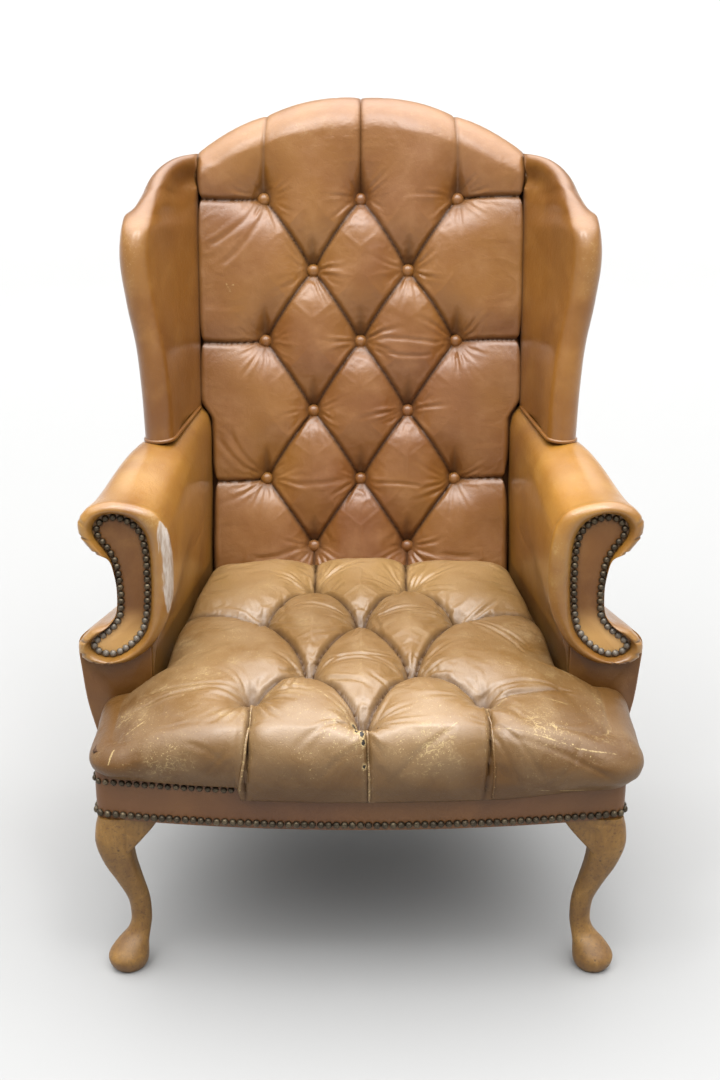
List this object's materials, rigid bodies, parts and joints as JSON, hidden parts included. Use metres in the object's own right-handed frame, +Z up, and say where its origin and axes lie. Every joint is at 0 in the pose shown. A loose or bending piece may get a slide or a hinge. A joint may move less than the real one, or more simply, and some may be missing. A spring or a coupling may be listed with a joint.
{
  "type": "worn tufted leather wing chair",
  "caption": "High-backed wing chair in worn tan leather, button-tufted back and seat, rolled arms edged with brass nails, cabriole front legs.",
  "frame": {"origin": "on the floor under the middle of the overall box", "axes": "+X to the right as seen from the front, +Y towards the chair's back, +Z up"},
  "size_m": [0.8078, 0.8147, 1.1491],
  "materials": {
    "leather": "aged, waxed and glossy",
    "seat_leather": "worn, creased and abraded",
    "leg_wood": "worn varnish",
    "frame_wood": "unfinished",
    "nail_brass": "dark antique",
    "spring_steel": "oiled",
    "webbing": "woven jute",
    "dust_cloth": "black lining cloth"
  },
  "bodies": {
    "root": {"arm_base_panel_left": "leather", "arm_base_panel_right": "leather", "arm_facing_left": "leather", "arm_facing_right": "leather", "arm_nails_left": "nail_brass", "arm_nails_right": "nail_brass", "arm_post_left": "frame_wood", "arm_post_right": "frame_wood", "arm_rail_left": "frame_wood", "arm_rail_right": "frame_wood", "arm_roll_left": "leather", "arm_roll_right": "leather", "back_pad": "leather", "back_post_left": "frame_wood", "back_post_right": "frame_wood", "back_rail": "frame_wood", "back_web_1": "webbing", "back_web_2": "webbing", "back_web_3": "webbing", "corner_block_left": "frame_wood", "corner_block_right": "frame_wood", "crest_rail": "frame_wood", "dust_cover": "dust_cloth", "front_band": "leather", "front_leg_left": "leg_wood", "front_leg_right": "leg_wood", "front_nails": "nail_brass", "front_rail": "frame_wood", "inside_arm_left": "leather", "inside_arm_right": "leather", "knee_bracket_front_left": "leg_wood", "knee_bracket_front_right": "leg_wood", "knee_bracket_side_left": "leg_wood", "knee_bracket_side_right": "leg_wood", "lower_back_rail": "frame_wood", "outside_arm_left": "leather", "outside_arm_right": "leather", "outside_back": "leather", "rear_leg_left": "leg_wood", "rear_leg_right": "leg_wood", "seat_deck": "webbing", "seat_pad": "seat_leather", "seat_spring_1": "spring_steel", "seat_spring_2": "spring_steel", "seat_spring_3": "spring_steel", "seat_spring_4": "spring_steel", "side_rail_left": "frame_wood", "side_rail_right": "frame_wood", "wing_left": "leather", "wing_right": "leather"}
  },
  "joints": []
}
